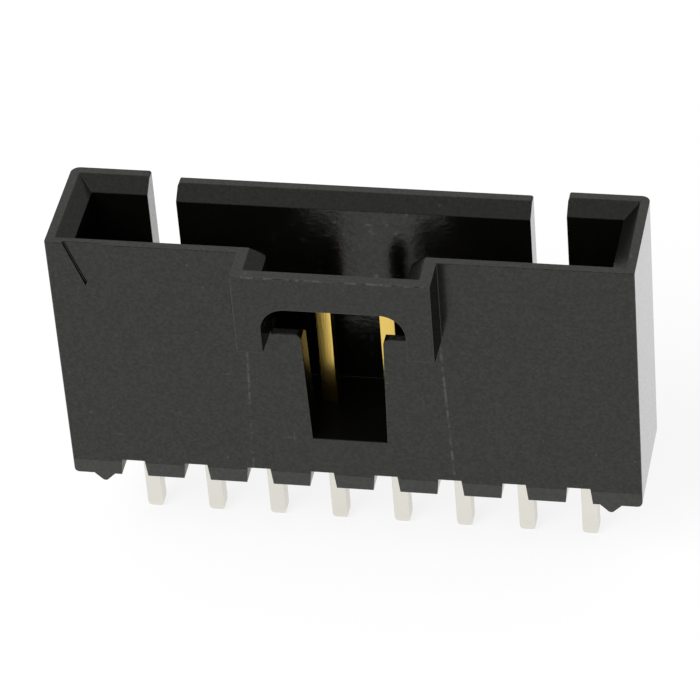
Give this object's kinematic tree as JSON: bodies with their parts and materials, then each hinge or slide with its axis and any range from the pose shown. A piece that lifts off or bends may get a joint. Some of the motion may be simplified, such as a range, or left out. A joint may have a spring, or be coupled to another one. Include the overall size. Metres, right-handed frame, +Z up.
{
  "type": "single-row pin header",
  "caption": "Upright shrouded pin header: one row of square pins in a moulded plastic housing with a key pocket, front window, rear slots and solder tails.",
  "frame": {"origin": "centre of the pin row, level with the undersides of the housing's feet", "axes": "+X along the row from pin 1 to pin 8, +Y away from the keyed front wall, +Z up towards the plug"},
  "size_m": [0.0228, 0.0064, 0.0151],
  "materials": {
    "housing": "fine satin mould texture",
    "contact": "gold on the mating end, matte tin on the solder tail"
  },
  "bodies": {
    "root": {"housing": "housing", "pin_1": "contact", "pin_2": "contact", "pin_3": "contact", "pin_4": "contact", "pin_5": "contact", "pin_6": "contact", "pin_7": "contact", "pin_8": "contact"}
  },
  "joints": []
}
